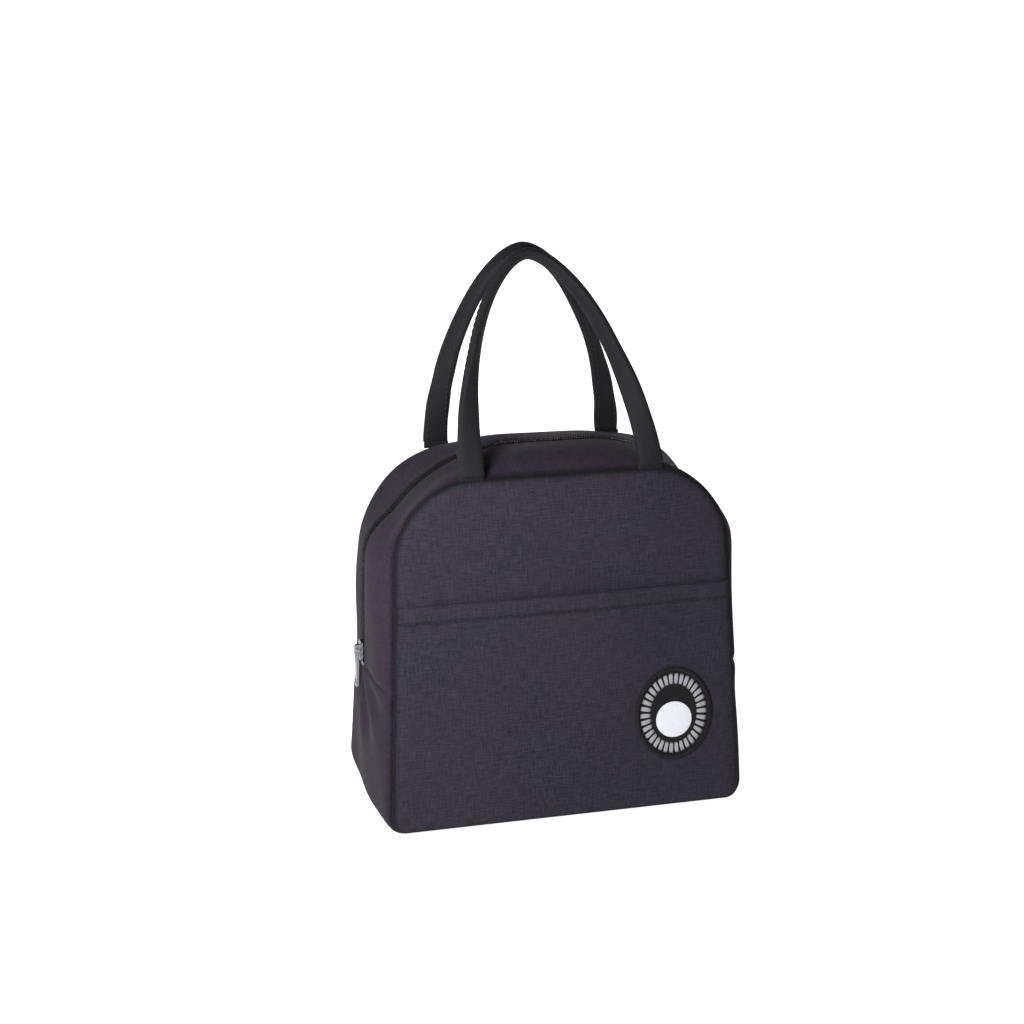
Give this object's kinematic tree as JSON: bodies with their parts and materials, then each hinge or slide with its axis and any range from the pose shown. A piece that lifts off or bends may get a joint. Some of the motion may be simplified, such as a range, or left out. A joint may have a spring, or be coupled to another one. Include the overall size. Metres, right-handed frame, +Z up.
{
  "type": "insulated lunch bag",
  "caption": "Soft insulated lunch bag with a zipped round top, a flat front pocket, an oval badge and two strap handles; mouth, handles, slider and pull all move.",
  "frame": {"origin": "centre of the base, on the surface that the bag stands on", "axes": "+Z up, -Y towards the front with the pocket and badge, +X to the right as seen from the front"},
  "size_m": [0.22, 0.1215, 0.3207],
  "materials": {
    "outer_fabric": "woven, charcoal with a faint purple tint",
    "foam": "closed-cell foam",
    "foil_lining": "aluminised film, satin",
    "binding_tape": "woven tape",
    "zipper_coil": "moulded nylon coil",
    "zipper_tape": "woven tape",
    "zipper_metal": "die-cast zinc alloy, bright",
    "handle_webbing": "woven webbing, near black",
    "handle_stitching": "dense box stitching, black",
    "badge_black_twill": "embroidered twill, black",
    "badge_ring_thread": "embroidery thread, light grey",
    "badge_disc_thread": "embroidery thread, off-white"
  },
  "bodies": {
    "bag_body": {"front_panel_lower": "outer_fabric", "back_panel_lower": "outer_fabric", "gusset_lower": "outer_fabric", "front_foam_lower": "foam", "back_foam_lower": "foam", "gusset_foam_lower": "foam", "front_lining_lower": "foil_lining", "back_lining_lower": "foil_lining", "gusset_lining_lower": "foil_lining", "front_binding_lower": "binding_tape", "back_binding_lower": "binding_tape", "left_zipper_end_tape": "zipper_tape", "left_zipper_end_coil": "zipper_coil", "left_zipper_stop": "zipper_metal", "right_zipper_end_tape": "zipper_tape", "right_zipper_end_coil": "zipper_coil", "right_zipper_stop": "zipper_metal", "pocket_sheet_lower": "outer_fabric", "pocket_seam_lower": "outer_fabric", "badge_patch": "badge_black_twill", "badge_border": "badge_black_twill", "badge_ring": "badge_ring_thread", "badge_disc": "badge_disc_thread"},
    "front_mouth": {"front_panel_upper": "outer_fabric", "front_foam_upper": "foam", "front_lining_upper": "foil_lining", "front_binding_upper": "binding_tape", "front_zip_band": "outer_fabric", "front_zip_band_foam": "foam", "front_zip_band_lining": "foil_lining", "front_zipper_tape": "zipper_tape", "front_zipper_coil": "zipper_coil", "front_handle_anchors": "handle_stitching", "pocket_sheet_upper": "outer_fabric", "pocket_hem": "outer_fabric", "pocket_seam_upper": "outer_fabric"},
    "back_mouth": {"back_panel_upper": "outer_fabric", "back_foam_upper": "foam", "back_lining_upper": "foil_lining", "back_binding_upper": "binding_tape", "back_zip_band": "outer_fabric", "back_zip_band_foam": "foam", "back_zip_band_lining": "foil_lining", "back_zipper_tape": "zipper_tape", "back_zipper_coil": "zipper_coil", "back_handle_anchors": "handle_stitching"},
    "front_handle_body": {"front_handle": "handle_webbing"},
    "back_handle_body": {"back_handle": "handle_webbing"},
    "slider_body": {"zip_slider": "zipper_metal"},
    "pull_body": {"zip_pull": "zipper_metal"}
  },
  "joints": [
    {"name": "front_mouth_fold", "type": "hinge", "parent": "bag_body", "child": "front_mouth", "pos_m": [0, -0.04956, 0.098], "axis": [1, 0, 0], "range_deg": [0, 22]},
    {"name": "back_mouth_fold", "type": "hinge", "parent": "bag_body", "child": "back_mouth", "pos_m": [0, 0.04804, 0.098], "axis": [-1, 0, 0], "range_deg": [0, 22]},
    {"name": "front_handle_fold", "type": "hinge", "parent": "front_mouth", "child": "front_handle_body", "pos_m": [0, -0.038, 0.20106], "axis": [1, 0, 0], "range_deg": [0, 178]},
    {"name": "back_handle_fold", "type": "hinge", "parent": "back_mouth", "child": "back_handle_body", "pos_m": [0, 0.038, 0.20106], "axis": [-1, 0, 0], "range_deg": [0, 178]},
    {"name": "zipper_slide", "type": "slide", "parent": "bag_body", "child": "slider_body", "axis": [-0.0192, 0, -0.9998], "range_m": [-0.056, 0]},
    {"name": "pull_swing", "type": "hinge", "parent": "slider_body", "child": "pull_body", "pos_m": [-0.11006, 0, 0.09056], "axis": [0, 1, 0], "range_deg": [0, 150]}
  ]
}
